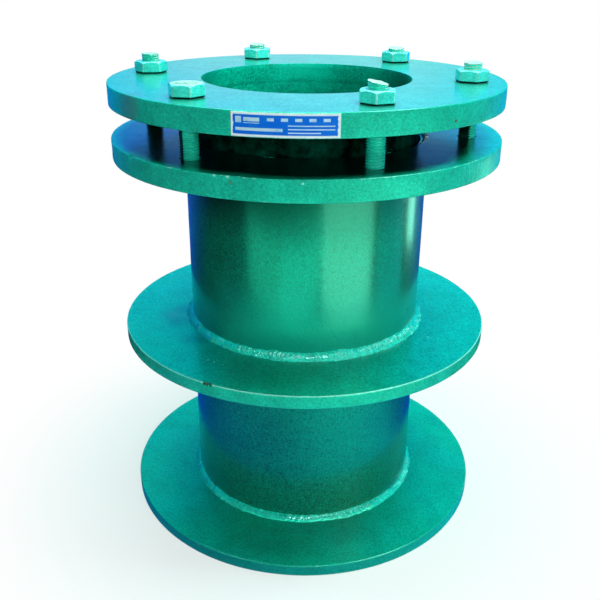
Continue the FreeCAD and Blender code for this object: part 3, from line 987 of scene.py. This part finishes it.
def seal(name, low):
    """Rubber ring with rounded corners."""
    near = SEAL_INNER + SEAL_CORNER
    out = RING_OUTER - SEAL_CORNER
    high = low + SEAL_HEIGHT - SEAL_CORNER
    low = low + SEAL_CORNER
    points = []
    for r, z, start in ((out, low, -90), (out, high, 0), (near, high, 90), (near, low, 180)):
        for step in range(5):
            turn = math.radians(start + 90 * step / 4)
            points.append((r + SEAL_CORNER * math.cos(turn), z + SEAL_CORNER * math.sin(turn)))
    return lathe(name, np.array(points), 300, smooth_angle=60)


seal_rubber = rubber("seal_rubber")
for name, low in (("lower", RETAINING_TOP), ("upper", RETAINING_TOP + SEAL_HEIGHT)):
    ring = dress(seal("rubber_ring_" + name, low), "sleeve", "seal_rubber", [seal_rubber], "seal_ring_" + name)
    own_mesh(ring)


# Floor, light and camera

MIDDLE = 0.2            # height of the object's middle, in metres
CARD_DISTANCE = 0.54


def lamp(name, place, aim, size, power, colour, glossy=True, diffuse=True):
    """Rectangular lamp that the camera doesn't see."""
    data = bpy.data.lights.new(name, "AREA")
    data.shape = "RECTANGLE"
    data.size, data.size_y = size
    data.energy = power
    data.color = colour
    light = bpy.data.objects.new(name, data)
    bpy.context.scene.collection.objects.link(light)
    direction = Vector(aim) - Vector(place)
    light.matrix_world = Matrix.Translation(place) @ direction.to_track_quat("-Z", "Y").to_matrix().to_4x4()
    light.visible_camera = False
    light.visible_glossy = glossy
    light.visible_diffuse = diffuse


def high_lamp(name, azimuth, elevation, size, power, colour, distance=1.5, aim=MIDDLE, **seen):
    """Lamp at a distance from the middle of the object, aimed at a height on its axis."""
    turn = math.radians(azimuth)
    rise = math.radians(elevation)
    reach = distance * math.cos(rise)
    place = (reach * math.cos(turn), reach * math.sin(turn), MIDDLE + distance * math.sin(rise))
    lamp(name, place, (0, 0, aim), size, power, colour, **seen)


def card(name, azimuth, height, size, power, colour):
    """Lamp close to the object that shows only in its gloss."""
    turn = math.radians(azimuth)
    place = (CARD_DISTANCE * math.cos(turn), CARD_DISTANCE * math.sin(turn), height)
    lamp(name, place, (0, 0, height), size, power, colour, diffuse=False)


high_lamp("overhead", 90, 80, (1.2, 1.2), 15, (0.33, 0.88, 0.84), distance=1.6, aim=0.25)
high_lamp("behind", 98, 60, (0.8, 0.8), 8, (0.34, 0.90, 0.86), aim=0.25)
high_lamp("right", -2, 63, (0.5, 0.5), 19, (0.50, 0.92, 0.92))
high_lamp("left", 172, 68, (0.3, 0.3), 5.5, (0.30, 0.90, 0.95))
high_lamp("key", -42, 40, (0.6, 0.5), 1.15, (1.0, 0.95, 0.92))
high_lamp("front", -82, 16, (0.8, 0.4), 7.4, (0.92, 1.0, 0.98), glossy=False)
high_lamp("front_low", -58, 12, (1.0, 0.5), 1.5, (0.92, 1.0, 0.98), glossy=False)
high_lamp("front_top", -78, 58, (0.3, 0.3), 1.3, (0.90, 1.0, 0.98))
high_lamp("glint", -84, 56, (0.35, 0.35), 4.0, (0.55, 1.0, 0.95), diffuse=False)
card("bright_card", -52, 0.12, (0.45, 0.24), 2.00, (0.16, 1.0, 0.64))
card("left_card", -108.5, 0.065, (0.74, 0.13), 0.70, (0.03, 1.0, 0.58))
card("left_low", -104, 0.052, (0.74, 0.10), 0.55, (0.03, 1.0, 0.62))
card("middle_low", -96, 0.052, (0.30, 0.10), 0.22, (0.01, 1.0, 0.68))
card("bright_low", -54, 0.045, (0.42, 0.09), 0.32, (0.14, 1.0, 0.66))
card("side_low", -8, 0.055, (0.30, 0.11), 0.18, (0.01, 1.0, 0.9))
card("side_card", -8, 0.110, (0.30, 0.16), 0.19, (0.01, 1.0, 0.95))
card("strip", 21, 0.15, (0.12, 0.14), 0.32, (0.26, 1.0, 0.68))


def floor():
    """Disc of pale floor, plain white far from the object.

    The camera sees pale paper. Glossy surfaces see a yard that is brighter in
    some places than in others, and everything else a dim grey."""
    rings = [100, 200, 300, 450, 700, 1100, 1800, 3000, 6000]
    columns = 96
    points = []
    faces = []
    for radius in rings:
        for i in range(columns):
            turn = 2 * math.pi * i / columns
            points.append((radius * math.cos(turn), radius * math.sin(turn), 0.0))
    points.append((0.0, 0.0, 0.0))
    for ring in range(len(rings) - 1):
        here = ring * columns
        for i in range(columns):
            k = (i + 1) % columns
            faces.append((here + i, here + columns + i, here + columns + k, here + k))
    faces += [(len(points) - 1, i, (i + 1) % columns) for i in range(columns)]
    disc = build("floor", points, faces)
    g = new_material("floor_paper")
    at = g.place()
    flat = g.put("ShaderNodeVectorMath", {0: at}, "Value", operation="LENGTH")
    tone = g.mix(g.mul(g.noise(at, 60.0, 3.0), 0.3), (0.95, 0.93, 0.88, 1), (0.90, 0.88, 0.84, 1))
    near = g.put("ShaderNodeBsdfDiffuse", {"Color": tone})
    plain = g.put("ShaderNodeEmission", {"Color": WHITE, "Strength": 1.0})
    fade = g.add(0.60, g.mul(g.step(flat, 0.14, 0.34), 0.40))
    white = g.put("ShaderNodeMixShader", {0: fade, 1: near, 2: plain})
    side, way, _ = g.split(at)
    shine = g.mix(g.step(way, 0.1, 0.7), BLACK, (0.01, 0.12, 0.60, 1))
    shine = g.mix(g.step(way, 0.9, 1.5), shine, (0.0, 0.40, 1.70, 1))
    aside = g.step(g.math("ABSOLUTE", side), 0.08, 0.16)
    shine = g.mix(g.mul(aside, g.within(flat, 0.26, 0.40)), shine, (0.0, 0.08, 0.55, 1))
    front = g.mul(g.within(way, -0.12, 0.0), g.within(flat, 0.40, 0.60))
    shine = g.mix(front, shine, (0.0, 0.30, 0.90, 1))
    patch = g.within(g.far(at, (0.16, -0.22, 0.0)), 0.04, 0.27)
    shine = g.mix(patch, shine, (0.0, 1.7, 1.9, 1))
    shiny = g.put("ShaderNodeEmission", {"Color": shine, "Strength": 1.0})
    paper = g.put("ShaderNodeBsdfDiffuse", {"Color": (0.45, 0.47, 0.50, 1)})
    glow = g.put("ShaderNodeEmission", {"Color": (0.03, 0.03, 0.04, 1), "Strength": g.step(flat, 0.15, 0.60)})
    dim = g.put("ShaderNodeAddShader", {0: paper, 1: glow})
    seen, mirrored = g.rays()
    rest = g.put("ShaderNodeMixShader", {0: mirrored, 1: dim, 2: shiny})
    disc.data.materials.append(g.finish(g.put("ShaderNodeMixShader", {0: seen, 1: rest, 2: white})))


def world():
    """White for the camera, a pale sky for the gloss, and else nearly dark."""
    studio = bpy.data.worlds.new("studio")
    bpy.context.scene.world = studio
    g = Graph(studio)
    x, y, z = g.split(g.put("ShaderNodeTexCoord", {}, "Generated"))
    side = g.step(x, -0.15, 0.15)
    low = g.mix(side, (0.01, 0.46, 0.66, 1), (0.02, 0.50, 0.62, 1))
    middle = g.mix(g.step(y, 0.955, 0.992), BLACK, (0.46, 0.24, 0.08, 1))
    low = g.mix(1.0, low, middle, "ADD")
    high = g.mix(side, (0.0, 0.30, 1.50, 1), (0.02, 0.80, 1.70, 1))
    top = g.mix(side, (0.0, 1.10, 1.50, 1), (0.0, 0.80, 1.20, 1))
    behind = g.mix(g.step(z, 0.145, 0.195), low, high)
    behind = g.mix(g.step(z, 0.23, 0.38), behind, top)
    risen = g.step(z, -0.10, 0.05)
    behind = g.mix(risen, BLACK, behind)
    ahead = g.mix(risen, BLACK, (0.10, 0.45, 0.45, 1))
    sky = g.mix(g.step(y, -0.10, 0.10), ahead, behind)
    seen, mirrored = g.rays()
    light = g.mix(seen, g.mix(mirrored, (0.02, 0.02, 0.03, 1), sky), WHITE)
    g.finish(g.put("ShaderNodeBackground", {"Color": light}), "ShaderNodeOutputWorld")


def camera():
    """Camera fitted to the edges of the flanges and wings in the photograph."""
    data = bpy.data.cameras.new("photo_camera")
    data.sensor_width = 36.0
    data.lens = 46.82
    data.shift_y = -0.0181
    view = bpy.data.objects.new("photo_camera", data)
    bpy.context.scene.collection.objects.link(view)
    tilt = Matrix.Rotation(math.radians(90 - 23.0808), 4, "X")
    roll = Matrix.Rotation(math.radians(0.3805), 4, "Z")
    view.matrix_world = Matrix.Translation((-0.00427, -0.6553, 0.4662)) @ tilt @ roll
    bpy.context.scene.camera = view


floor()
world()
camera()
bpy.context.scene.view_settings.view_transform = "Standard"
